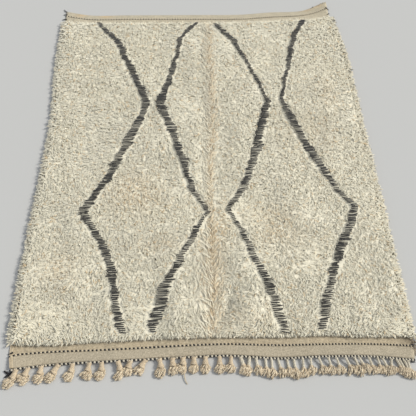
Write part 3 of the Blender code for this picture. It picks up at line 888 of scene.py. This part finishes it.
def ground_cloth(material):
    """The woven ground, bare at both ends, lying on the floor with its hems in soft waves."""
    shares = rows_between("near_hem", "near_border", BAND_ROWS)
    shares += rows_between("near_border", "far_border", BAND_ROWS, first=1, last=1)
    shares += rows_between("far_border", "far_hem", BAND_ROWS)
    piece = plan_grid(CLOTH_COLUMNS, shares)
    places = places_of(piece)
    x, y = places[:, 0], places[:, 1]
    ripple = RIPPLE_HEIGHT * field(x, y, RIPPLE_SPAN, 4.4) * np.clip(lift(x, y) / 0.003, 0, 1)
    places[:, 2] = lift(x, y) + np.maximum(ripple, 0)
    set_places(piece, places)
    vertex_values(piece, "line", line_distance(x, y)[0])
    vertex_values(piece, "outer", np.clip((read(ENDS, "near_cord", x) - y) / 0.004, 0, 1))
    aged = sum(np.exp(-spaces_away(x, y, stain)) for stain in CLOTH_STAINS)
    vertex_values(piece, "aged", np.clip(aged, 0, 1))
    vertex_values(piece, "dark_corner", np.exp(-spaces_away(x, y, DARK_CORNER_PATCH)))
    thicken = piece.modifiers.new("thickness", "SOLIDIFY")
    thicken.thickness = WEAVE_THICKNESS
    thicken.offset = 1.0
    select_whole(piece)
    bpy.ops.object.modifier_apply(modifier=thicken.name)
    piece.data.shade_smooth()
    finished(piece, "ground_cloth", material, "ground_weave", "ground_weave")


def wool_bed(material):
    """The matted wool under the locks, down to the weave."""
    piece = plan_grid(BED_COLUMNS, rows_between("near_border", "far_border", BED_ROWS))
    places = places_of(piece)
    places[:, 0] *= 1 - BED_INSET / np.maximum(np.abs(places[:, 0]), 0.1)
    middle = 0.5 * (MIDDLE.near_border + MIDDLE.far_border)
    places[:, 1] = middle + (places[:, 1] - middle) * (1 - BED_INSET / 0.92)
    far_end = np.clip((places[:, 1] - read(ENDS, "far_border", places[:, 0])) / 0.03 + 1, 0, 1)
    top = shag_top(places[:, 0], places[:, 1]) - BED_DEPTH - 0.004 * far_end
    places[:, 2] = np.maximum(top, WEAVE_THICKNESS + 0.002)
    set_places(piece, places)
    with edit_mode():
        bpy.ops.mesh.extrude_region_move(TRANSFORM_OT_translate={"value": (0, 0, -1)})
    places = places_of(piece)
    places[places[:, 2] < 0, 2] = WEAVE_THICKNESS + 0.0003
    set_places(piece, places)
    with edit_mode():
        bpy.ops.mesh.normals_make_consistent(inside=False)
    finished(piece, "wool_bed", material, "pile", "pile")


def shag(materials):
    """The pile: cream locks in panels across the rug, and the charcoal locks of the four lines."""
    draw = np.random.default_rng(PILE_SEED)
    curly = spindle(foot=0.36, waist=0.5, root=0.0, tip=0.6)
    blunt = spindle(foot=0.42, waist=0.46, root=0.0, tip=0.9)
    lines = bars(draw)
    cream = joined(wool_locks(draw), fold_strands(draw), rim_locks(draw))
    edges = np.quantile(cream.x, np.linspace(0, 1, PANELS + 1))
    edges[0], edges[-1] = -np.inf, np.inf
    for k in range(PANELS):
        panel = strew(chosen(cream, (cream.x >= edges[k]) & (cream.x < edges[k + 1])), curly)
        finished(panel, f"pile_panel_{k + 1}", materials["pile"], "pile", "pile")
    finished(strew(lines, blunt), "zigzag_lines", materials["charcoal"], "pile", "pile")


def twined(cord):
    """Paths of the black and the pale yarn of a cord that is twined across the rug: each in turn makes a
    stitch on the face, while the other one is out of sight in the cloth. The stitches are longer on the
    left."""
    shares = np.linspace(0, 1, CORD_STEPS + 1)
    pitch = np.interp(shares, (0.35, 0.80), CORD_PITCHES)
    turns = np.cumsum(CLOTH_WIDTH / CORD_STEPS / pitch)
    x, y = plan_point(shares, cord.line, cord.line, 0.0)
    y = y + cord.out - cord.hooked * np.maximum(0.0, 1 - shares / 0.028) ** 2
    base = lift(x, y) + cord.lies_at
    strands = []
    for phase, radius, bias in ((0.0, BLACK_YARN, cord.black_bias), (pi, PALE_YARN, PALE_BIAS)):
        turn = tau * turns + phase
        shown = np.clip(bias + 1.6 * np.sin(turn), 0, 1)
        thick = 0.30 + 0.80 * shown
        lowest = radius * cord.fat * thick + YARN_GAP
        height = np.maximum(base - 0.0016 + 0.0026 * shown, lowest)
        swayed = y + 0.0008 * np.cos(turn)
        strands.append([(Vector(place), float(size)) for *place, size in zip(x, swayed, height, thick)])
    return strands


def pressed(cord, most):
    """Presses a cord's stitches flat, down to a height over the cloth's underside."""
    places = places_of(cord)
    places[:, 2] = np.minimum(places[:, 2], lift(places[:, 0], places[:, 1]) + most)
    set_places(cord, places)
    return cord


def cords(materials):
    """The two bands' twined cords and the one that closes the hem, each as a black and a pale piece."""
    for cord in CORDS:
        black, pale = twined(cord)
        for strand, radius, wool, tail in (
            (black, BLACK_YARN, "black", "_black"),
            (pale, PALE_YARN, cord.pale, "_pale"),
        ):
            yarn = pressed(yarns([strand], radius * cord.fat, CORD_SIDES), cord.most)
            finished(yarn, cord.name + tail, materials[wool], cord.slot, cord.solid)


def swelling(share):
    """A share from 0 to 1 that starts steeply and flattens out."""
    return sin(min(1.0, share) * pi / 2)


def tassel_strands(tassel, draw):
    """The yarns of one tassel: neck, knot, and the curled loose ends, all lying on the floor. Those on the
    left are stout and crimped, those on the right slim and smooth."""
    hem = float(read(ENDS, "near_hem", tassel.root))
    stout = float(np.interp(tassel.root, STOUT_FADE, (1, 0)))
    high = float(lift(tassel.root, hem)) + 0.0040
    root = Vector((tassel.root, hem - HEM_CORD_DROP - 0.001))
    tip = root + Vector((tassel.lean, -tassel.reach)) * (1.14 - 0.10 * stout)
    turn_point = root + Vector((0.15 * tassel.lean + tassel.bow, -0.5 * tassel.reach))
    span = (tip - root).length
    neck_share = 0.55 - 0.10 * stout
    clump = (1.45 - 0.40 * stout) * tassel.clump

    def at(share, aside, up, radius):
        """The place at a share of the tassel's run, off its middle and up, clear of the floor."""
        t = min(share, 1.0)
        way = ((1 - t) * (turn_point - root) + t * (tip - turn_point)).normalized()
        place = (1 - t) ** 2 * root + 2 * t * (1 - t) * turn_point + t * t * tip
        place = place + way * (share - t) * span + aside * Vector((-way.y, way.x))
        return Vector((place.x, place.y, max(up, radius + YARN_GAP)))

    slim = stout < 0.5
    plies = SLIM_PLIES if slim else STOUT_PLIES
    thick = SLIM_NECK + STOUT_GAIN * stout
    yarn = thick * (0.56 if slim else 0.36)
    ring = thick * (0.50 if slim else 0.68)
    neck = []
    for ply in range(plies):
        strand = []
        phase = draw.uniform(0, tau)
        for step in range(NECK_STEPS + 1):
            share = step / NECK_STEPS
            turn = tau * (share * neck_share * span / (6.0 * thick) + ply / plies)
            around = ring * (1.12 - 0.35 * sin(pi * min(1, share * 1.2)) + 0.10 * sin(5 * share + phase))
            drop = max(thick + YARN_GAP, high + (thick - high) * share ** 1.5)
            radius = yarn * (1 + 0.40 * stout * sin(2.9 * step + phase))
            place = at(share * neck_share, around * cos(turn), drop + 0.85 * around * sin(turn), radius)
            strand.append((place, radius / NECK_YARN))
        neck.append(strand)

    knot = []
    for step in range(KNOT_STEPS + 1):
        share = step / KNOT_STEPS
        turn = tau * KNOT_TURNS * share
        bulge = thick * (0.90 + 0.25 * sin(pi * share))
        place = at(neck_share + 0.09 * (share - 0.4), bulge * cos(turn), thick + 0.8 * bulge * sin(turn),
                   NECK_YARN)
        knot.append((place, 0.8))

    curls = []
    for _ in range(SLIM_CURLS + round(MORE_CURLS * stout)):
        fan = draw.uniform(-1.0, 1.0)
        start = neck_share + draw.uniform(-0.13 * stout, 0.06)
        end = start + (1.04 - start) * draw.uniform(0.45, 1.05) * (1 - 0.22 * abs(fan))
        layer = 0.0100 * draw.random() * (1 - 0.6 * abs(fan))
        phase = draw.uniform(0, tau)
        coil = draw.uniform(0.0024, 0.0038)
        turns = CURL_TURNS * draw.uniform(0.7, 1.3)
        strand = []
        for step in range(CURL_STEPS + 1):
            share = step / CURL_STEPS
            turn = tau * turns * share + phase
            spread = fan * (0.8 * thick + (clump - 0.8 * thick) * swelling(share * 1.4))
            heaped = layer * sin(pi * min(1, 0.15 + share)) ** 0.6
            up = 0.0026 + heaped + coil * (1 + sin(turn)) * min(1, 3 * share)
            along = start + (end - start) * swelling(1.25 * share) + coil / span * sin(turn * 0.9)
            strand.append((at(along, spread + coil * cos(turn), up, CURL_YARN), 1.12 - 0.25 * share ** 3))
        curls.append(strand)
    return slim, neck, knot, curls


def fringe(materials):
    """The tassels, in one piece for each kind of yarn."""
    draw = Random(FRINGE_SEED)
    necks, knotted, loose = {True: [], False: []}, [], []
    for tassel in TASSELS:
        slim, neck, knot, curls = tassel_strands(tassel, draw)
        necks[slim] += neck
        knotted.append(knot)
        loose += curls
    for strands, radius, sides, name, wool in (
        (necks[False], NECK_YARN, YARN_SIDES, "stout_necks", "fringe"),
        (necks[True], NECK_YARN, YARN_SIDES, "slim_necks", "cream"),
        (knotted, NECK_YARN, YARN_SIDES, "tassel_knots", "fringe"),
        (loose, CURL_YARN, CURL_SIDES, "tassel_ends", "curls"),
    ):
        finished(yarns(strands, radius, sides), name, materials[wool], "fringe", "near_fringe")


Stray = namedtuple("Stray", "x y height heading length radius wool")
# Loose ends at the corners: where each one starts, how high it lies, the way it points in degrees, its size
STRAYS = (
    Stray(-0.773, -0.9275, 0.008, 178, 0.017, 0.0042, "black"),      # end of the near cord, left
    Stray(0.776, -0.9440, 0.008, -8, 0.020, 0.0022, "black"),        # and right
    Stray(-0.760, -0.9980, 0.005, 172, 0.036, 0.0042, "black"),      # knot at the hem's left end
    Stray(-0.762, -1.0040, 0.004, 200, 0.030, 0.0044, "black"),
    Stray(0.762, -1.0030, 0.006, -30, 0.016, 0.0026, "black"),       # hem cord's right end
    Stray(-0.790, 1.0500, 0.006, 150, 0.028, 0.0026, "black"),
    Stray(-0.788, 1.0250, 0.006, 195, 0.022, 0.0026, "black"),
    Stray(-0.786, 0.9790, 0.006, 170, 0.026, 0.0026, "black"),
    Stray(0.742, 1.0150, 0.022, 10, 0.022, 0.0028, "black"),
    Stray(0.752, 0.9760, 0.008, 40, 0.014, 0.0028, "black"),
    Stray(0.668, 1.0260, 0.020, 80, 0.014, 0.0026, "black"),
    Stray(0.716, 1.0450, 0.030, 100, 0.014, 0.0018, "tan"),
    Stray(0.730, 1.0500, 0.031, 60, 0.012, 0.0018, "tan"),
    Stray(0.744, 1.0530, 0.031, 120, 0.012, 0.0018, "tan"),
    Stray(-0.122, -1.0080, 0.010, -60, 0.058, 0.0024, "tan"),        # long tail of a tassel
)
LOOSE_SEED = 5                       # of the random draws for the loose ends
FRAYS = 54                           # bits of yarn along the frayed selvedge
FRAYED_Y = (-1.002, -0.908)          # from the hem to the pile
ROLL_YARNS = (0.0015, 0.0060, 0.0105)         # how far inside the left edge each yarn of its roll lies
ROLL_RADIUS = 0.0026
ROLL_START, ROLL_LENGTH = -0.984, 0.092
ROLL_STEPS = 12


def stray_yarn(stray, draw):
    """The path of a loose end: a soft wave that sinks to the floor."""
    strand = []
    swing, phase = draw.uniform(0.10, 0.18), draw.uniform(0, tau)
    heading = radians(stray.heading)
    for step in range(STRAY_STEPS + 1):
        share = step / STRAY_STEPS
        aside = stray.length * swing * sin(4 * share + phase)
        gone = stray.length * share
        place = Vector((stray.x + gone * cos(heading) - aside * sin(heading),
                        stray.y + gone * sin(heading) + aside * cos(heading),
                        max(stray.height * (1 - share) + 0.003 * share, stray.radius + YARN_GAP)))
        strand.append((place, 1.0 - 0.35 * share ** 3))
    return strand


def loose_ends(materials):
    """The corners' loose yarn ends, the frayed right selvedge and the rolled left one, at the near band."""
    draw = Random(LOOSE_SEED)
    wools = {"black": [], "tan": [], "grey": []}
    for stray in STRAYS:
        wools[stray.wool].append((stray_yarn(stray, draw), stray.radius))
    for k in range(FRAYS):
        y = draw.uniform(*FRAYED_Y)
        x = float(read(SIDES, "right", y)) + draw.uniform(-0.012, 0.007)
        heading, length = draw.uniform(-100, 60), draw.uniform(0.008, 0.018)
        radius = draw.uniform(0.0011, 0.0017)
        bit = Stray(x, y, 0.0065, heading, length, radius, "tan" if k % 3 == 0 else "grey")
        wools[bit.wool].append((stray_yarn(bit, draw), bit.radius))
    for away in ROLL_YARNS:
        roll = []
        for step in range(ROLL_STEPS + 1):
            y = ROLL_START + ROLL_LENGTH * step / ROLL_STEPS
            x = float(read(SIDES, "left", y)) + away + draw.uniform(-0.0006, 0.0006)
            height = float(lift(x, y)) + WEAVE_THICKNESS + 0.0010
            roll.append((Vector((x, y, height)), 1.0))
        wools["tan"].append((roll, ROLL_RADIUS))
    for wool, found in wools.items():
        strands = [[(place, size * radius / NECK_YARN) for place, size in strand]
                   for strand, radius in found]
        piece = yarns(strands, NECK_YARN, YARN_SIDES)
        finished(piece, f"loose_ends_{wool}", materials[wool], "fringe", "near_fringe")


# ---------------------------------------------------------------- materials
def node(tree, kind, settings=None, **inputs):
    """Adds a node, sets its options, and sets or links its inputs by name."""
    made = tree.nodes.new(kind)
    for option, value in (settings or {}).items():
        setattr(made, option, value)
    for key, value in inputs.items():
        socket = made.inputs[int(key[1:])] if key[0] == "_" else made.inputs[key.replace("_", " ")]
        if isinstance(value, bpy.types.NodeSocket):
            tree.links.new(value, socket)
        else:
            socket.default_value = value
    return made


def new_group(name, sockets_in, sockets_out):
    group = bpy.data.node_groups.new(name, "ShaderNodeTree")
    for title, kind, value in sockets_in:
        socket = group.interface.new_socket(title, in_out="INPUT", socket_type=kind)
        socket.default_value = value
    for title, kind in sockets_out:
        group.interface.new_socket(title, in_out="OUTPUT", socket_type=kind)
    return group, group.nodes.new("NodeGroupInput"), group.nodes.new("NodeGroupOutput")


def fibre_group():
    """Fine wool fibre: flecks a colour lighter and darker, and gives the height of the hairs."""
    group, into, out = new_group(
        "wool_fibre",
        (("Colour", "NodeSocketColor", (1, 1, 1, 1)), ("Fleck", "NodeSocketFloat", 0.2),
         ("Scale", "NodeSocketFloat", 400.0)),
        (("Colour", "NodeSocketColor"), ("Height", "NodeSocketFloat")),
    )
    spot = node(group, "ShaderNodeTexCoord")
    hairs = node(group, "ShaderNodeTexNoise", Vector=spot.outputs["Object"], Scale=into.outputs["Scale"],
                 Detail=3.0, Roughness=0.6).outputs[0]
    swing = ramp(group, hairs, 0.3, 0.7, -1.0, 1.0)
    amount = calc(group, "MULTIPLY_ADD", swing, into.outputs["Fleck"], 1.0)
    group.links.new(scaled(group, into.outputs["Colour"], amount), out.inputs["Colour"])
    group.links.new(hairs, out.inputs["Height"])
    return group


def material_base(name, roughness, sheen):
    material = bpy.data.materials.new(name)
    material.use_nodes = True
    shader = material.node_tree.nodes["Principled BSDF"]
    shader.inputs["Roughness"].default_value = roughness
    shader.inputs["Sheen Weight"].default_value = sheen
    shader.inputs["Specular IOR Level"].default_value = 0.2
    return material, shader


def mix(tree, share, low, high):
    """One colour at share 0, another at share 1."""
    made = node(tree, "ShaderNodeMix", {"data_type": "RGBA"})
    for index, value in ((0, share), (6, low), (7, high)):
        if isinstance(value, bpy.types.NodeSocket):
            tree.links.new(value, made.inputs[index])
        else:
            made.inputs[index].default_value = value
    return made.outputs[2]


def attribute(tree, name):
    return node(tree, "ShaderNodeAttribute", {"attribute_name": name}).outputs["Fac"]


def ramp(tree, value, low, high, to_low=0.0, to_high=1.0):
    return node(tree, "ShaderNodeMapRange", Value=value, From_Min=low, From_Max=high, To_Min=to_low,
                To_Max=to_high).outputs[0]


def calc(tree, operation, *values):
    inputs = {f"_{k}": value for k, value in enumerate(values)}
    return node(tree, "ShaderNodeMath", {"operation": operation}, **inputs).outputs[0]


def scaled(tree, colour, amount):
    return node(tree, "ShaderNodeVectorMath", {"operation": "SCALE"}, Vector=colour,
                Scale=amount).outputs[0]


def woolly(tree, shader, fibre, colour, fleck, scale):
    """Colours the shader with a wool's fibre, and gives the height of its hairs."""
    wool = node(tree, "ShaderNodeGroup", {"node_tree": fibre}, Colour=colour, Fleck=fleck, Scale=scale)
    tree.links.new(wool.outputs["Colour"], shader.inputs["Base Color"])
    return wool.outputs["Height"]


def raised(tree, shader, height, strength, distance):
    bump = node(tree, "ShaderNodeBump", Strength=strength, Distance=distance, Height=height)
    tree.links.new(bump.outputs[0], shader.inputs["Normal"])


def lock_wool(name, fibre, root, tip, aged, fleck):
    """Wool of the locks: one colour at the root and another at the tip, the ivory's paler root being
    painted light in the shade between the locks; each lock with its own tone, partly painted light and
    shade; some of them gone tan, and those deep in the old fold brown, a painted shade of its partings. In
    the charcoal wool the tan share gives the slits' grey instead, partly painted shade."""
    material, shader = material_base(name, roughness=0.92, sheen=0.35)
    tree = material.node_tree
    # root to tip: in the ivory wool the paler root is painted light in the shade between the locks
    along = ramp(tree, attribute(tree, "along"), 0.10, 0.45)
    body = mix(tree, along, root, tip)
    tan = attribute(tree, "tan")
    body = mix(tree, ramp(tree, tan, 0.0, 1.0), body, aged)
    # tan past 1 darkens to the painted shade of the fold's partings
    body = mix(tree, ramp(tree, tan, 1.0, 2.0), body, PARTING_PAINTED_SHADE)
    shade = ramp(tree, attribute(tree, "tone"), 0.0, 1.0, 0.86, 1.09)
    hairs = woolly(tree, shader, fibre, scaled(tree, body, shade), fleck, scale=420.0)
    raised(tree, shader, hairs, strength=0.5, distance=0.0012)
    return material


def plain_wool(name, fibre, low, high, fleck, scale, patch):
    """Yarn of one wool, mottled between two colours."""
    material, shader = material_base(name, roughness=0.9, sheen=0.2)
    tree = material.node_tree
    spot = node(tree, "ShaderNodeTexCoord").outputs["Object"]
    cloudy = node(tree, "ShaderNodeTexNoise", Vector=spot, Scale=patch, Detail=2.0).outputs[0]
    body = mix(tree, ramp(tree, cloudy, 0.35, 0.65), low, high)
    hairs = woolly(tree, shader, fibre, body, fleck, scale)
    raised(tree, shader, hairs, strength=0.6, distance=0.001)
    return material


def cloth_wool(fibre):
    """Flat weave: fine weft ribs over the warps, with painted shade between them, streaks, stains and a
    darker corner. The lines show on its back.
    """
    material, shader = material_base("flat_weave", roughness=0.93, sheen=0.15)
    tree = material.node_tree
    spot = node(tree, "ShaderNodeTexCoord").outputs["Object"]
    parts = node(tree, "ShaderNodeSeparateXYZ", Vector=spot)
    streak_spot = node(tree, "ShaderNodeMapping", Vector=spot, Scale=(18.0, 260.0, 1.0)).outputs[0]
    streaks = node(tree, "ShaderNodeTexNoise", Vector=streak_spot, Scale=1.0, Detail=3.0).outputs[0]
    body = mix(tree, ramp(tree, streaks, 0.32, 0.68), ECRU_DARK, ECRU)
    patches = node(tree, "ShaderNodeTexNoise", Vector=spot, Scale=14.0, Detail=3.0).outputs[0]
    body = mix(tree, ramp(tree, patches, 0.35, 0.65, 0.0, 0.5), body, ECRU_WARM)
    for where, most, colour in (
        (attribute(tree, "outer"), 0.6, HEM_ECRU),
        (parts.outputs[1], 0.6, FAR_ECRU),
        (attribute(tree, "aged"), 0.7, STAIN_ORANGE),
        (attribute(tree, "dark_corner"), 0.75, CORNER_BROWN),
    ):
        body = mix(tree, ramp(tree, where, 0.0, 1.0, 0.0, most), body, colour)
    slubs = node(tree, "ShaderNodeTexNoise", Vector=spot, Scale=190.0, Detail=3.0,
                 Roughness=0.7).outputs[0]
    body = scaled(tree, body, ramp(tree, slubs, 0.30, 0.70, 0.62, 1.36))
    wefts, warps = (
        node(tree, "ShaderNodeTexWave", {"bands_direction": way}, Vector=spot, Scale=scale,
             Distortion=bent, Detail=1.0).outputs["Fac"]
        for way, scale, bent in (("Y", 70.0, 2.2), ("X", 63.0, 2.8)))
    relief = calc(tree, "MULTIPLY", wefts, warps)
    # Darker where the ribs sink between each other: painted shade in the weave's hollows
    body = mix(tree, ramp(tree, relief, 0.0, 0.5, 0.30, 0.0), body, ECRU_DARK)
    back = calc(tree, "LESS_THAN", parts.outputs[2], 0.001)
    on_line = calc(tree, "LESS_THAN", attribute(tree, "line"), 0.0)
    rows = calc(tree, "PINGPONG", parts.outputs[1], BAR_PITCH / 2)
    dash = calc(tree, "LESS_THAN", rows, BAR_PITCH * 0.32)
    shown = calc(tree, "MULTIPLY", calc(tree, "MULTIPLY", back, on_line), dash)
    body = mix(tree, shown, body, CHARCOAL)
    hairs = woolly(tree, shader, fibre, body, fleck=0.12, scale=700.0)
    raised(tree, shader, calc(tree, "MULTIPLY_ADD", hairs, 0.4, relief), strength=0.7, distance=0.0010)
    return material


def all_materials():
    fibre = fibre_group()
    made = {
        "pile": lock_wool("ivory_locks", fibre, IVORY_ROOT_PAINTED_LIGHT, IVORY, TAN, fleck=0.18),
        "charcoal": lock_wool("charcoal_locks", fibre, CHARCOAL, CHARCOAL_TIP, SLIT_CREAM_AND_SHADE,
                              fleck=0.35),
        "cloth": cloth_wool(fibre),
    }
    for wool, name, low, high, fleck, scale, patch in (
        ("bed", "matted_wool", IVORY_ROOT_PAINTED_LIGHT, IVORY, 0.2, 300.0, 60.0),
        ("black", "black_yarn", BLACK_WOOL, BLACK_WORN, 0.3, 600.0, 60.0),
        ("cream", "cream_yarn", CREAM_WOOL, CREAM_PALE, 0.15, 600.0, 60.0),
        ("ecru", "ecru_yarn", ECRU, ECRU_YARN, 0.2, 600.0, 60.0),
        ("tan", "selvedge_wool", SELVEDGE, SELVEDGE_PALE, 0.25, 500.0, 60.0),
        ("grey", "frayed_yarn", FRAYED, FRAYED_PALE, 0.3, 500.0, 60.0),
        ("fringe", "fringe_yarn", FRINGE_SHADE, FRINGE_DULL, 0.25, 500.0, 90.0),
        ("curls", "curled_ends", FRINGE_SHADE, FRINGE_WOOL, 0.25, 500.0, 140.0),
    ):
        made[wool] = plain_wool(name, fibre, low, high, fleck, scale, patch)
    return made


# ---------------------------------------------------------------- floor, light and camera
KEY_PLACE = (3.0, 0.40, 2.45)
KEY_AIM = (0, -0.1, 0)
KEY_STRENGTH = 3.05
KEY_ANGLE = 16               # degrees that the sun's disc fills, for soft shadows
SKY_STRENGTH = 0.59
CAMERA_PLACE = (-0.0295, -1.317, 1.8372)     # fitted to the rug's four corners
CAMERA_DOWN = 61.154                         # degrees below level
CAMERA_RIGHT = 1.817                         # degrees to the right of the rug's length
LENS = 39.81                                 # mm, for a sensor of this width:
SENSOR = 36.0
FLOOR_SIZE = 12                              # m, along each side


def stage():
    """The plain pale floor, the soft sun and sky, and the camera."""
    deselect()
    bpy.ops.mesh.primitive_plane_add(size=FLOOR_SIZE, location=(0, 0, 0))
    floor = bpy.context.object
    floor.name = "studio_floor"
    material, shader = material_base("floor_paint", roughness=0.9, sheen=0.0)
    shader.inputs["Base Color"].default_value = FLOOR_PALE
    floor.data.materials.append(material)

    key = bpy.data.objects.new("key_light", bpy.data.lights.new("key_light", "SUN"))
    key.data.energy = KEY_STRENGTH
    key.data.angle = radians(KEY_ANGLE)
    key.data.color = KEY_COLOUR
    key.location = KEY_PLACE
    key.rotation_euler = (Vector(KEY_AIM) - key.location).to_track_quat("-Z", "Y").to_euler()
    bpy.context.scene.collection.objects.link(key)

    world = bpy.data.worlds.new("studio")
    world.use_nodes = True
    background = world.node_tree.nodes["Background"]
    background.inputs["Color"].default_value = SKY_COLOUR
    background.inputs["Strength"].default_value = SKY_STRENGTH
    bpy.context.scene.world = world

    camera = bpy.data.objects.new("camera", bpy.data.cameras.new("camera"))
    camera.data.sensor_width = SENSOR
    camera.data.lens = LENS
    camera.location = CAMERA_PLACE
    camera.rotation_euler = (radians(90 - CAMERA_DOWN), 0, radians(-CAMERA_RIGHT))
    bpy.context.scene.collection.objects.link(camera)
    bpy.context.scene.camera = camera
    bpy.context.scene.view_settings.view_transform = "Standard"


materials = all_materials()
ground_cloth(materials["cloth"])
wool_bed(materials["bed"])
shag(materials)
cords(materials)
fringe(materials)
loose_ends(materials)
stage()
